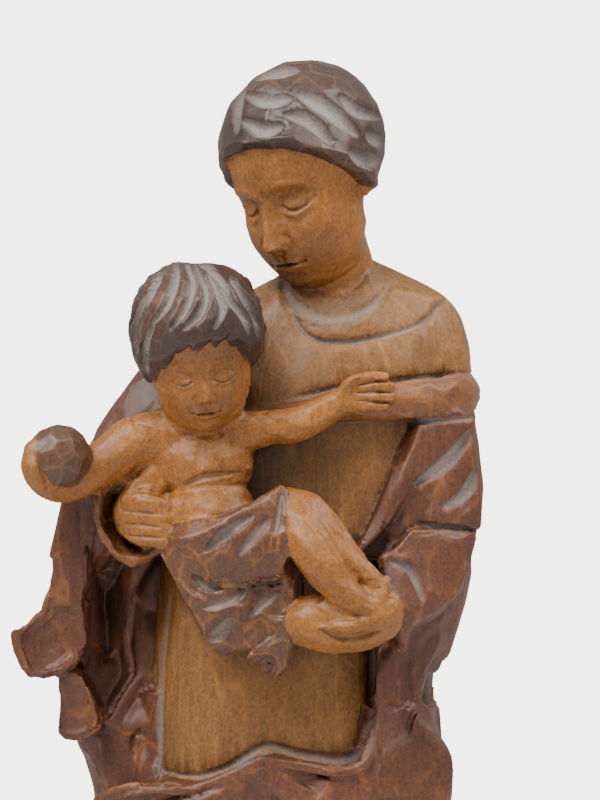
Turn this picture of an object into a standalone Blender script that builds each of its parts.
"""Virgin and child: a standing carved figure, made as one solid on a low oval plinth.

The figure is drawn on a carver's front drawing: a place is (across, down, depth) in drawing
rows, with depth towards the back. One row is a share of the figure's height.
"""
import math

import bmesh
import bpy
import numpy as np
from mathutils import Euler, Matrix, Vector

# Driving sizes, in metres
FIGURE_HEIGHT = 0.595
PLINTH_HEIGHT = 0.0167
PLINTH_WIDTH = 0.123
PLINTH_DEPTH = 0.096
PLINTH_EDGE_ROUND = 0.0037
BLEND_GRAIN = 0.0013

# The front drawing, in rows
DRAWING_ROWS = 1600
FOOT_LINE = 1655
MIDDLE = 265
PLINTH_MIDDLE_DEPTH = -10
ROW = FIGURE_HEIGHT / DRAWING_ROWS

# Detail of the finished solid
SOFTEN_STEPS = 2
SOLID_TRIANGLES = 9300
TOWARDS_VIEWER = Vector((0, -1, 0))
PART_NAME = "virgin_and_child"


def at(across, down, depth):
    """A place on the front drawing as a point in metres."""
    return Vector(((across - MIDDLE) * ROW, depth * ROW, PLINTH_HEIGHT + (FOOT_LINE - down) * ROW))


def smooth_line(stations, count):
    """Stations read at count even steps of a smooth curve through them."""
    knots = np.array(stations, float)
    knots = np.vstack([2 * knots[0] - knots[1], knots, 2 * knots[-1] - knots[-2]])
    run = np.linspace(0, len(stations) - 1, count)
    span = np.minimum(run.astype(int), len(stations) - 2)
    part = (run - span)[:, None]
    before, start, end, after = (knots[span + shift] for shift in range(4))
    return 0.5 * (2 * start + (end - before) * part
                  + (2 * before - 5 * start + 4 * end - after) * part ** 2
                  + (3 * start - before - 3 * end + after) * part ** 3)


def dip(across, down, middle, radii, deep):
    """A soft hollow in a carved face, deepest at its middle."""
    return deep * math.exp(-((across - middle[0]) / radii[0]) ** 2 - ((down - middle[1]) / radii[1]) ** 2)


def rolled(share, high, place=0.88, width=0.09):
    """A rolled edge that stands forward near the outline of a sheet."""
    return -high * math.exp(-((share - place) / width) ** 2)


def limit(value, low=0.0, high=1.0):
    return min(max(value, low), high)


class Clay:
    """Overlapping closed masses, gathered in one mesh to be blended afterwards."""

    def __init__(self):
        self.mesh = bmesh.new()

    def add(self, shape):
        mesh = bpy.data.meshes.new("shape")
        shape.to_mesh(mesh)
        shape.free()
        self.mesh.from_mesh(mesh)
        bpy.data.meshes.remove(mesh)

    def lump(self, centre, radii, turn=(0, 0, 0)):
        """An egg with radii (across, down, depth)."""
        across, down, depth = (size * ROW for size in radii)
        place = Matrix.Translation(at(*centre))
        place = place @ Euler([math.radians(angle) for angle in turn]).to_matrix().to_4x4()
        ball = bmesh.new()
        bmesh.ops.create_uvsphere(ball, u_segments=32, v_segments=20, radius=1.0,
                                  matrix=place @ Matrix.Diagonal((across, depth, down, 1)))
        self.add(ball)

    def drawn_ball(self, rings, sides, section):
        """A ball whose rings are drawn out, each to its own section."""
        last = len(rings) - 1
        ball = bmesh.new()
        bmesh.ops.create_uvsphere(ball, u_segments=sides, v_segments=last, radius=1.0)
        for vert in ball.verts:
            ring = round(math.acos(limit(vert.co.z, -1.0)) * last / math.pi)
            vert.co = section(rings[ring], math.atan2(vert.co.y, vert.co.x))
        self.add(ball)

    def limb(self, *stations, flat=1.0, sides=18, cap=4):
        """A round-ended bar through stations (across, down, depth, radius); flat scales its depth."""
        line = smooth_line(stations, 6 * (len(stations) - 1) + 1)
        centres = [at(*station[:3]) for station in line]
        radii = [max(station[3], 0.5) * ROW for station in line]
        frames = []
        sideways = Vector((1, 0, 0))
        for place in range(len(centres)):
            ahead = centres[min(place + 1, len(centres) - 1)] - centres[max(place - 1, 0)]
            ahead.normalize()
            facing = TOWARDS_VIEWER - ahead * TOWARDS_VIEWER.dot(ahead)
            if facing.length > 0.25:
                facing.normalize()
                side = ahead.cross(facing)
                if frames and side.dot(sideways) < 0:
                    side.negate()
                    facing.negate()
            else:
                side = (sideways - ahead * sideways.dot(ahead)).normalized()
                facing = side.cross(ahead)
            sideways = side
            frames.append((ahead, side, facing))
        swings = [step / cap * math.pi / 2 for step in range(cap)]
        rings = [(centres[0] - frames[0][0] * radii[0] * math.cos(swing), radii[0] * math.sin(swing),
                  frames[0])
                 for swing in swings]
        rings += list(zip(centres, radii, frames))
        rings += [(centres[-1] + frames[-1][0] * radii[-1] * math.cos(swing),
                   radii[-1] * math.sin(swing),
                   frames[-1]) for swing in reversed(swings)]

        def section(ring, turn):
            centre, radius, (ahead, side, facing) = ring
            return centre + (side * math.cos(turn) + facing * flat * math.sin(turn)) * radius

        self.drawn_ball(rings, sides, section)

    def stack(self, *stations, power=2.5, sides=64, steps=6, relief=None):
        """Level sections (down, across, half width, depth,
                           half depth) piled up; relief pushes the wall."""
        line = smooth_line(stations, steps * (len(stations) - 1) + 1)
        ends = [(down, across, 0.0, depth, 0.0) for down, across, width, depth,
                thick in (line[0], line[-1])]
        rings = [ends[0], *map(tuple, line), ends[1]]

        def section(ring, turn):
            down, across, width, depth, thick = ring
            east = math.copysign(abs(math.cos(turn)) ** (2 / power), math.cos(turn))
            north = math.copysign(abs(math.sin(turn)) ** (2 / power), math.sin(turn))
            push = relief(across + width * east, down, depth + thick * north) if relief and width else 0
            return at(across + (width + push) * east, down, depth + (thick + push) * north)

        self.drawn_ball(rings, sides, section)

    def sheet(self, middle, outline, front, back, shrink=0.85, rim=6, rings=14, sides=96):
        """Cloth inside a drawn outline; front(across, down, share) is the depth of its carved face."""
        middle = np.array(middle, float)
        loop = np.array([*outline, outline[0]], float)
        run = np.concatenate([[0], np.cumsum(np.linalg.norm(np.diff(loop, axis=0), axis=1))])
        rows = [(step / rings, None) for step in range(rings + 1)] + [(shrink, back), (0.0, back)]

        def section(ring, turn):
            share, level = ring
            spot = (turn / (2 * math.pi)) % 1 * run[-1]
            point = np.array([np.interp(spot, run, loop[:, side]) for side in (0, 1)])
            across, down = middle + (point - middle) * share
            if level is None:
                round_off = limit((share - 0.8) / 0.2)
                level = front(across, down, share) + rim * (1 - math.sqrt(1 - round_off ** 2))
            return at(across, down, level)

        self.drawn_ball(rows, sides, section)

    def chunk(self, *corners):
        """The hull of some corners."""
        block = bmesh.new()
        verts = [block.verts.new(at(*corner)) for corner in corners]
        hull = bmesh.ops.convex_hull(block, input=verts)
        inside = [item for item in hull["geom_interior"] if isinstance(item, bmesh.types.BMVert)]
        bmesh.ops.delete(block, geom=inside, context="VERTS")
        self.add(block)

    def slab(self, outline, front, back, shrink=0.8, bevel=14):
        """A block with a chamfered front, from an outline of (across, down)."""
        middle = np.mean(np.array(outline, float), axis=0)
        corners = [(across, down, depth) for across, down in outline for depth in (front + bevel, back)]
        corners += [(*(middle + (np.array(point) - middle) * shrink), front) for point in outline]
        self.chunk(*corners)

    def blended(self, name, grain):
        """The masses fused into one closed surface and softened, as an object."""
        mesh = bpy.data.meshes.new(name)
        self.mesh.to_mesh(mesh)
        self.mesh.free()
        block = bpy.data.objects.new(name, mesh)
        bpy.context.scene.collection.objects.link(block)
        fuse = block.modifiers.new("fuse", "REMESH")
        fuse.mode = "VOXEL"
        fuse.voxel_size = grain
        soften = block.modifiers.new("soften", "SMOOTH")
        soften.iterations = SOFTEN_STEPS
        return block


class Head:
    """A head by its size, place and turn; its own axes are in head heights,
    with the face towards -Y."""

    def __init__(self, size, centre, yaw, pitch, roll, jaw, eye_line, nose):
        self.size = size * ROW
        self.centre = at(*centre)
        turn = Matrix.Rotation(math.radians(yaw), 3, "Z") @ Matrix.Rotation(math.radians(pitch), 3, "X")
        self.turn = np.array(turn @ Matrix.Rotation(math.radians(roll), 3, "Y"))
        self.skull = (((0, 0.06, 0.13), (0.35, 0.43, 0.37)), ((0, -0.10, -0.16), (jaw, 0.29, 0.36)))
        self.eye_line = eye_line
        self.nose = nose

    def plain(self, ways):
        """How far the plain head reaches along each unit direction."""
        total = 0
        for centre, radii in self.skull:
            centre, radii = np.array(centre), np.array(radii)
            a = ((ways / radii) ** 2).sum(1)
            b = -2 * (ways * centre / radii ** 2).sum(1)
            c = ((centre / radii) ** 2).sum() - 1
            total = total + ((-b + np.sqrt(b * b - 4 * a * c)) / (2 * a)) ** 14
        return total ** (1 / 14)

    def world(self, local):
        return local @ self.turn.T * self.size + np.array(self.centre)

    def even(self, z):
        """Heights on this face as heights on an adult face with its eyes at the middle."""
        return np.interp(z, (-0.5, -0.30, -0.22, self.eye_line, 0.35, 0.6),
                         (-0.5, -0.305, -0.21, 0.0, 0.37, 0.6))

    def grid(self, azimuth, height, lift):
        """A place on the head as a place on the drawing: angles from the face, and lift."""
        swing, rise = math.radians(azimuth), math.radians(height)
        way = np.array([[math.sin(swing) * math.cos(rise), -math.cos(swing) * math.cos(rise),
                         math.sin(rise)]])
        x, y, z = self.world(way * (self.plain(way) + lift)[:, None])[0]
        return (x / ROW + MIDDLE, FOOT_LINE - (z - PLINTH_HEIGHT) / ROW, y / ROW)


def bump(x, z, across, up, wide, tall):
    return np.exp(-((x - across) / wide) ** 2 - ((z - up) / tall) ** 2)


def face_form(x, z, nose):
    """How far a calm, evenly proportioned face stands forward of the plain head."""
    side = np.abs(x)
    form = 0.018 * bump(x, z, 0, 0.20, 0.26, 0.12)
    form -= 0.040 * bump(side, z, 0.115, 0.0, 0.075, 0.050)
    form += 0.026 * bump(side, z, 0.135, -0.018, 0.060, 0.040)
    form += 0.012 * bump(side, z, 0.13, 0.075, 0.10, 0.03)
    form += 0.020 * bump(side, z, 0.165, -0.155, 0.085, 0.09)
    form += 0.028 * bump(x, z, 0, -0.30, 0.11, 0.085)
    form += 0.034 * bump(x, z, 0, -0.430, 0.090, 0.050)
    ridge = np.interp(z, (-0.232, -0.205, -0.175, -0.10, 0.0, 0.08, 0.14),
                      (0.0, 0.045, 0.112, 0.084, 0.034, 0.014, 0.0))
    broad = np.interp(z, (-0.22, -0.17, -0.05, 0.03, 0.10), (0.040, 0.042, 0.030, 0.030, 0.06))
    form += nose * ridge * np.exp(-np.abs(x / broad) ** 2.2)
    form += nose * 0.034 * bump(side, z, 0.046, -0.185, 0.026, 0.026)
    return form


def ways_of(ball):
    ways = np.array([vert.co[:] for vert in ball.verts])
    return ways / np.linalg.norm(ways, axis=1)[:, None]


def smooth_step(value):
    value = np.clip(value, 0, 1)
    return value * value * (3 - 2 * value)


def carve_head(clay, head):
    """A head with the broad form of its face."""
    ball = bmesh.new()
    bmesh.ops.create_icosphere(ball, subdivisions=6, radius=1.0)
    ways = ways_of(ball)
    local = ways * head.plain(ways)[:, None]
    front = smooth_step((-local[:, 1] - 0.05) / 0.15)
    local[:, 1] -= face_form(local[:, 0], head.even(local[:, 2]), head.nose) * front
    for vert, place in zip(ball.verts, head.world(local)):
        vert.co = place
    clay.add(ball)


def carve_hair(clay, head, hairline, thick):
    """A cap of hair above a hairline, given as height angles at azimuths from the face."""
    ball = bmesh.new()
    bmesh.ops.create_icosphere(ball, subdivisions=6, radius=1.0)
    ways = ways_of(ball)
    azimuth = np.degrees(np.arctan2(ways[:, 0], -ways[:, 1]))
    height = np.degrees(np.arcsin(np.clip(ways[:, 2], -1, 1)))
    above = smooth_step((height - np.interp(azimuth, *hairline)) / 3)
    reach = head.plain(ways) - 0.03 + above * (thick + 0.03)
    for vert, place in zip(ball.verts, head.world(ways * reach[:, None])):
        vert.co = place
    clay.add(ball)


def carve_heads(clay):
    mother = mothers_head()
    carve_head(clay, mother)
    hairline = ((-180, -120, -95, -72, -52, -30, 0, 35, 60, 80, 95, 120, 180),
                (-40, -38, -22, -6, 14, 32, 37, 34, 20, 0, -14, -36, -40))
    carve_hair(clay, mother, hairline, 0.030)
    roll = [(*mother.grid(azimuth, np.interp(azimuth, *hairline) + 4, 0.030),
             8.5) for azimuth in range(-70, 111, 12)]
    clay.limb(*roll)
    clay.lump(mother.grid(96, -16, 0.01), (9, 15, 10))
    child = childs_head()
    carve_head(clay, child)
    fringe = ((-180, -100, -75, -40, 0, 40, 75, 100, 180), (-42, -22, 0, 24, 30, 24, 0, -22, -42))
    carve_hair(clay, child, fringe, 0.045)
    lock_ends = ((0, 25, 50, 80, 110, 180), (27, 21, 4, -26, -34, -46))
    locks = 19
    for number in range(locks):
        azimuth = -180 + 360 * number / locks + 6
        end = float(np.interp(abs(azimuth - 6), *lock_ends)) + 3 * math.sin(number * 4.1)
        turn = -30 if 42 < azimuth < 150 else 34
        steps = []
        for part, lift, size in ((0.0, 0.056, 7), (0.3, 0.058, 9), (0.62, 0.050, 10), (0.88, 0.042, 9),
                                 (1.0, 0.030, 4)):
            bend = turn * (1 - part) ** 1.2
            steps.append((*child.grid(azimuth + bend, 84 + (end - 84) * part, lift), size))
        clay.limb(*steps, flat=0.8)


def mothers_head():
    return Head(207, (305, 177, -32), -33, 26, -6, 0.275, 0.0, 1.0)


def childs_head():
    return Head(148, (202, 352, -126), 5, 20, -6, 0.315, -0.07, 0.75)


def carve_mother(clay):
    """Neck, dress, shoulders and the band of the mantle round the left shoulder."""
    clay.limb((320, 220, -5, 38), (332, 262, 0, 40), (336, 310, 0, 46))
    clay.stack((1000, 265, 106, 0, 80), (850, 266, 112, 0, 86), (760, 266, 110, -2, 88),
               (680, 267, 110, -2, 88), (600, 270, 110, -2, 86), (530, 278, 112, -4, 82),
               (460, 290, 122, -4, 80),
               (400, 303, 134, -2, 78), (350, 312, 138, 0, 68), (318, 322, 116, 0, 56),
               (292, 330, 80, 4, 44),
               (276, 336, 52, 8, 34), power=3.0)
    clay.limb((400, 400, -30, 44), (390, 470, -36, 46), (372, 545, -44, 44),
              (364, 640, -40, 42))
    clay.limb((368, 300, 2, 38), (418, 334, 5, 45), (428, 376, 5, 43))
    clay.limb((306, 300, 10, 38), (226, 372, 10, 42), (140, 455, 8, 46), (108, 560, -5, 46))
    clay.limb((268, 286, -20, 4), (284, 306, -48, 4), (310, 320, -60, 4), (345, 322, -62, 4),
              (375, 310, -50, 4), (392, 290, -25, 4))
    clay.limb((246, 418, -84, 9), (300, 412, -90, 12), (345, 404, -90, 17),
              (400, 401, -82, 19),
              (446, 394, -54, 20), (466, 391, -10, 21), (458, 392, 40, 22), (400, 395, 78, 22),
              (300, 380, 92, 24),
              (200, 380, 70, 24), flat=0.75)


def fold_row(phase, sharp=0.6):
    """A row of folds, from -1 to 1: broad rounded ridges with narrow valleys."""
    return 2 * (0.5 + 0.5 * math.cos(2 * math.pi * phase)) ** sharp - 1


def hanging_folds(across, down):
    """The long folds that fall from the shoulders, spreading a little as they go down."""
    fan = (across - MIDDLE) / (150 + 0.04 * (down - 370))
    return 8 * fold_row(fan * 2.6 + 0.2 + 0.0004 * down)


def hem_line(across, depth):
    """How far down the mantle reaches."""
    if depth > 20:
        return 1560
    return np.interp(across, (110, 150, 260, 360, 400, 425), (1500, 1455, 1360, 1235, 1230, 1520))


def swag_line(across):
    """Where the mantle's upper edge crosses the hips."""
    return np.interp(across, (90, 104, 124, 157, 184, 211, 228, 239, 259, 268, 300, 338, 358, 370, 378),
                     (806, 790, 780, 774, 775, 769, 764, 754, 747, 746, 751, 757, 754, 738, 700))


def carve_back(clay):
    """The mantle down the back, from the shoulders to its hem."""
    def relief(across, down, depth):
        return limit((down - 380) / 300, 0.15) * hanging_folds(across, down) * limit(depth / 40)
    clay.stack((1560, 264, 148, 16, 92), (1300, 264, 149, 20, 88), (1000, 266, 152, 26, 86),
               (800, 264, 164, 38, 78), (700, 260, 164, 42, 76), (600, 263, 174, 42, 72),
               (500, 275, 180, 40, 66),
               (420, 295, 170, 38, 62), (370, 305, 150, 36, 58), power=2.6, sides=120, steps=10,
               relief=relief)


def carve_skirt(clay):
    """The mantle drawn across the legs, and the dress that shows under its hem."""
    gather_across, gather_down = 452, 690

    def relief(across, down, depth):
        front = limit((30 - depth) / 60)
        if front > 0 and down < swag_line(across):
            return -26
        knee = 16 * math.exp(-((across - 218) / 55) ** 2 - ((down - 1130) / 130) ** 2) * front
        if down > hem_line(across, depth):
            flare = limit((down - 1250) / 400)
            return -7 + knee + (7 + 4 * flare) * fold_row((across - MIDDLE + 0.03 * (down - 1600)) / 42,
                                                          0.5) * front
        swing = math.degrees(math.atan2(down - gather_down, gather_across - across))
        far = math.hypot(down - gather_down, gather_across - across)
        grown = limit((far - 60) / 240)
        swept = fold_row(swing / 12.5 + 0.12 * math.sin(far / 110), 0.55) * (5 + 7 * grown) * grown
        return front * swept + (1 - front) * hanging_folds(across, down) + knee

    clay.stack((1665, 265, 142, 2, 92), (1600, 266, 146, 2, 94), (1500, 267, 150, 2, 97),
               (1300, 267, 149, 2, 98), (1100, 268, 149, 2, 101), (950, 270, 158, 0, 104),
               (850, 275, 168, -2, 106),
               (790, 275, 170, -2, 106), (745, 274, 166, 0, 102), (690, 274, 160, 0, 100), sides=180,
               steps=18,
               relief=relief, power=2.7)
    for side in (-1, 1):
        clay.lump((262 + side * 44, 1640, -100 - 4 * side), (25, 16, 40),
                  turn=(0, 0, side * 14))


def carve_left_mantle(clay):
    """The mantle that falls from the right arm, on the viewer's left."""
    clay.limb((108, 424, -24, 14), (94, 465, -50, 18), (84, 505, -60, 18), flat=2.0)
    clay.sheet((76, 540), [(60, 520), (66, 495), (80, 468), (102, 462), (106, 500), (96, 532),
                                     (95, 577),
                                     (90, 584), (88, 612), (66, 608), (48, 609), (57, 567), (56, 552)],
               lambda across, down, share: -84 + dip(across, down, (66, 588), (12, 22),
                                                     10) + rolled(share, 3)
               + dip(across, down, (84, 520), (7, 50), 8), 20)
    clay.limb((96, 440, 10, 22), (86, 560, 10, 26), (92, 680, 20, 26), (104, 790, 20, 30),
              flat=1.8)
    clay.sheet((56, 640), [(62, 596), (48, 609), (17, 626), (14, 638), (31, 673), (46, 675),
                                     (66, 670),
                                     (84, 655), (92, 640), (94, 600), (80, 590)],
               lambda across, down, share: -76 + rolled(share, 9, 0.80, 0.14) + 20 * (1 - share) ** 0.5
               + dip(across, down, (36, 640), (5, 16), -6), 20, rim=9)
    clay.sheet((80, 704), [(66, 664), (63, 691), (59, 730), (67, 736), (82, 737), (104, 727),
                                     (106, 714),
                                     (92, 684), (80, 664)],
               lambda across, down, share: -62 + rolled(share, 7, 0.82, 0.14) + 12 * (1 - share) ** 0.7,
               20, rim=8)
    clay.sheet((122, 762), [(82, 736), (108, 724), (134, 720), (156, 724), (162, 770),
                                      (160, 806),
                                      (119, 806), (101, 790)],
               lambda across, down, share: -46 - 0.25 * (across - 100) + rolled(share, 3), 30)
    for low, high, reach in ((672, 575, 12), (722, 622, 13), (765, 672, 12)):
        clay.limb((154, high, -6, reach), (134, high + (low - high) * 0.5, -20, reach),
                  (110, low, -26, reach), (98, low + 30, -24, reach - 3), flat=0.9)


def carve_right_mantle(clay):
    """The left sleeve in two blocks, and what falls behind it, on the viewer's right."""
    clay.limb((430, 420, 0, 46), (436, 500, 0, 42), (432, 570, 0, 40), (414, 640, 0, 38))
    clay.sheet((446, 468), [(424, 410), (448, 404), (474, 411), (477, 461), (483, 507),
                                      (479, 527),
                                      (469, 530), (441, 530), (415, 528), (402, 500), (400, 482),
                                      (413, 455)],
               lambda across, down, share: -82 + 0.42 * (across - 420) + dip(across, down, (462, 424),
                                                                             (22, 9), -8)
               + dip(across, down, (470, 505), (20, 9), -6), 50, rim=9)
    clay.sheet((430, 572), [(409, 526), (440, 527), (472, 531), (472, 536), (469, 559),
                                      (461, 587),
                                      (443, 605), (421, 620), (404, 632), (394, 612), (385, 576),
                                      (387, 552)],
               lambda across, down, share: -108 + 0.5 * (across - 400) + dip(across, down, (416, 600),
                                                                             (14, 26), -7)
               + dip(across, down, (446, 560), (12, 34), 7), 50, rim=9)
    clay.limb((428, 414, -58, 15), (410, 450, -72, 15), (394, 485, -82, 13),
              (376, 520, -88, 10),
              (356, 548, -94, 5), flat=1.35)
    clay.limb((388, 560, -96, 11), (395, 590, -106, 13), (400, 616, -104, 12),
              (399, 640, -98, 8),
              flat=1.1)
    clay.sheet((402, 680), [(376, 600), (430, 600), (444, 606), (441, 640), (422, 680),
                                      (414, 706),
                                      (412, 760), (376, 768)],
               lambda across, down, share: -84 + 0.6 * (across - 380) + dip(across, down, (404, 690),
                                                                            (7, 60), 10), 60)
    clay.sheet((412, 780), [(374, 764), (384, 738), (407, 726), (412, 712), (416, 705),
                                      (432, 722),
                                      (449, 744), (450, 787), (442, 850), (374, 856)],
               lambda across, down, share: -98 + 0.35 * (across - 380) + dip(across, down, (412, 740),
                                                                             (8, 14), 16)
               + dip(across, down, (396, 790), (40, 7), -6), 60, rim=10)


def carve_swag(clay):
    """The rolled upper edge of the mantle across the hips, and the fold under it."""
    edge = [(across, float(swag_line(across)) + 5, depth, 6) for across, depth in
            ((104, -84), (124, -96), (157, -104), (184, -107), (211, -109), (235, -110), (259, -111),
             (300, -111),
             (338, -109), (360, -102), (370, -94), (376, -86))]
    clay.limb(*edge, (376, 690, -82, 5), (377, 640, -80, 5), (376, 590, -78, 4))
    clay.limb((222, 784, -100, 9), (248, 770, -106, 12), (268, 770, -108, 12),
              (288, 781, -108, 12),
              (325, 803, -106, 13), (380, 850, -98, 15), (420, 920, -76, 16), flat=0.8)


def carve_child(clay):
    """The child's neck, trunk, arms and legs, with the ball held in the right hand."""
    clay.limb((207, 405, -112, 22), (208, 440, -108, 24))
    clay.lump((206, 462, -108), (50, 38, 36))
    clay.lump((212, 512, -112), (45, 42, 36))
    clay.limb((176, 434, -106, 26), (140, 440, -112, 25), (116, 456, -118, 22),
              (96, 468, -124, 21),
              (80, 478, -128, 18))
    clay.lump((66, 456, -142), (31, 32, 31))
    clay.limb((92, 472, -122, 20), (66, 476, -126, 21), (50, 468, -134, 18),
              (43, 458, -142, 13),
              (44, 446, -144, 9))
    clay.limb((236, 432, -112, 22), (262, 428, -112, 18), (296, 424, -112, 17),
              (322, 412, -108, 15),
              (342, 402, -106, 12))
    clay.lump((348, 399, -108), (18, 15, 9))
    for down, tip in ((377, 384), (387, 390), (397, 389), (407, 384)):
        clay.limb((354, down + (400 - down) * 0.3, -110, 5), (368, down, -116, 4.8),
                  (tip, down, -113, 4.2))
    clay.limb((340, 394, -114, 6), (348, 383, -118, 5), (357, 377, -118, 4))
    clay.limb((290, 512, -134, 21), (304, 530, -150, 21), (320, 558, -160, 21),
              (337, 580, -162, 16),
              (352, 592, -162, 14), (364, 600, -160, 11))
    clay.limb((284, 498, -128, 14), (310, 508, -134, 17), (330, 532, -138, 17),
              (350, 556, -142, 14),
              (370, 574, -146, 10), (380, 580, -146, 7))


def carve_loincloth(clay):
    knot = (281, 486, -142)
    clay.lump((232, 540, -132), (62, 38, 26))
    clay.chunk((276, 486, -140), (288, 486, -140), (182, 535, -138), (178, 541, -146),
               (216, 573, -158),
               (219, 581, -146), (284, 574, -150), (290, 560, -148), (250, 540, -166), (180, 545, -110),
               (220, 580, -100), (288, 576, -110), (288, 486, -110))
    for down, across in ((538, 186), (558, 206), (570, 228), (572, 254), (566, 280)):
        clay.limb((*knot, 5), ((281 + across) / 2 + 4, (486 + down) / 2 + 4, -156, 8),
                  (across, down - 2, -152, 8))
    clay.chunk((162, 546, -134), (184, 582, -146), (207, 622, -146), (211, 638, -140),
               (228, 650, -136),
               (248, 636, -142), (281, 612, -146), (294, 584, -140), (230, 600, -156), (170, 545, -110),
               (228, 648, -100), (290, 590, -100))
    clay.limb((282, 610, -140, 9), (284, 630, -142, 9), (283, 652, -140, 8),
              (277, 664, -138, 6))
    clay.limb((284, 628, -146, 7), (268, 640, -146, 7), (254, 649, -142, 6))
    clay.lump((268, 632, -124), (22, 30, 16))


def carve_hands(clay):
    """The mother's two hands, and the sleeve that opens round the right one."""
    clay.lump((146, 510, -110), (31, 33, 20))
    for number, down in enumerate((499, 511, 523, 534)):
        clay.limb((132 + 2 * number, down - 2, -120, 8), (150, down, -130, 8),
                  (170, down + 3, -132, 6.5))
    clay.limb((124, 500, -124, 8), (136, 484, -130, 8), (152, 473, -126, 7))
    clay.sheet((140, 512), [(122, 476), (104, 484), (97, 500), (99, 519), (107, 538),
                                      (124, 559),
                                      (140, 564), (159, 553), (172, 544), (174, 520), (168, 480),
                                      (146, 468)],
               lambda across, down, share: -96 - 20 * limit((share - 0.55) / 0.3), -40, rim=8)
    clay.limb((120, 520, -70, 26), (86, 560, -30, 34), flat=0.9)
    clay.lump((340, 614, -138), (60, 31, 28), turn=(0, -2, 0))
    clay.limb((390, 600, -150, 9), (372, 613, -162, 8), (352, 618, -168, 7),
              (334, 618, -166, 6))
    clay.limb((430, 560, -60, 26), (398, 600, -106, 22))


def carve_plinth(clay):
    """The low oval plinth; it is drawn a little deeper than the floor, where it is then cut flat."""
    floor = FOOT_LINE + PLINTH_HEIGHT / ROW
    wide, deep = PLINTH_WIDTH / ROW / 2, PLINTH_DEPTH / ROW / 2
    edge = PLINTH_EDGE_ROUND / ROW
    clay.stack((floor + 3 * edge, MIDDLE, wide, PLINTH_MIDDLE_DEPTH, deep),
               (floor, MIDDLE, wide, PLINTH_MIDDLE_DEPTH, deep),
               (FOOT_LINE + edge, MIDDLE, wide, PLINTH_MIDDLE_DEPTH, deep),
               (FOOT_LINE, MIDDLE, wide - edge, PLINTH_MIDDLE_DEPTH, deep - edge), power=2.9, steps=3)


def flat_underside(mesh):
    """Cut the solid level at the floor and close the cut."""
    solid = bmesh.new()
    solid.from_mesh(mesh)
    cut = bmesh.ops.bisect_plane(solid, geom=solid.verts[:] + solid.edges[:] + solid.faces[:], dist=1e-7,
                                 plane_co=(0, 0, 0), plane_no=(0, 0, -1), clear_outer=True)
    rim = [item for item in cut["geom_cut"] if isinstance(item, bmesh.types.BMEdge)]
    bmesh.ops.edgeloop_fill(solid, edges=rim)
    bmesh.ops.dissolve_degenerate(solid, dist=1e-5, edges=solid.edges[:])
    bmesh.ops.triangulate(solid, faces=solid.faces[:])
    bmesh.ops.recalc_face_normals(solid, faces=solid.faces[:])
    solid.to_mesh(mesh)
    solid.free()


def stained_wood():
    stain = bpy.data.materials.new("stained_wood")
    stain.use_nodes = True
    surface = stain.node_tree.nodes["Principled BSDF"]
    surface.inputs["Base Color"].default_value = (0.23, 0.10, 0.045, 1)
    surface.inputs["Roughness"].default_value = 0.42
    surface.inputs["Metallic"].default_value = 0.0
    return stain


def carve():
    clay = Clay()
    carve_heads(clay)
    carve_mother(clay)
    carve_back(clay)
    carve_skirt(clay)
    carve_left_mantle(clay)
    carve_right_mantle(clay)
    carve_swag(clay)
    carve_child(clay)
    carve_loincloth(clay)
    carve_hands(clay)
    carve_plinth(clay)
    return clay.blended("clay", BLEND_GRAIN)


def build():
    for item in list(bpy.data.objects):
        bpy.data.objects.remove(item)
    rough = carve()
    surface = rough.evaluated_get(bpy.context.evaluated_depsgraph_get())
    quads = len(surface.data.polygons)
    thin = rough.modifiers.new("thin", "DECIMATE")
    thin.ratio = SOLID_TRIANGLES / (2 * quads)
    surface = rough.evaluated_get(bpy.context.evaluated_depsgraph_get())
    mesh = bpy.data.meshes.new_from_object(surface)
    bpy.data.objects.remove(rough)
    flat_underside(mesh)
    mesh.name = PART_NAME
    mesh.materials.clear()
    mesh.materials.append(stained_wood())
    part = bpy.data.objects.new(PART_NAME, mesh)
    collection = bpy.data.collections.new(PART_NAME)
    bpy.context.scene.collection.children.link(collection)
    collection.objects.link(part)
    print(PART_NAME, len(mesh.polygons), "triangles")


build()
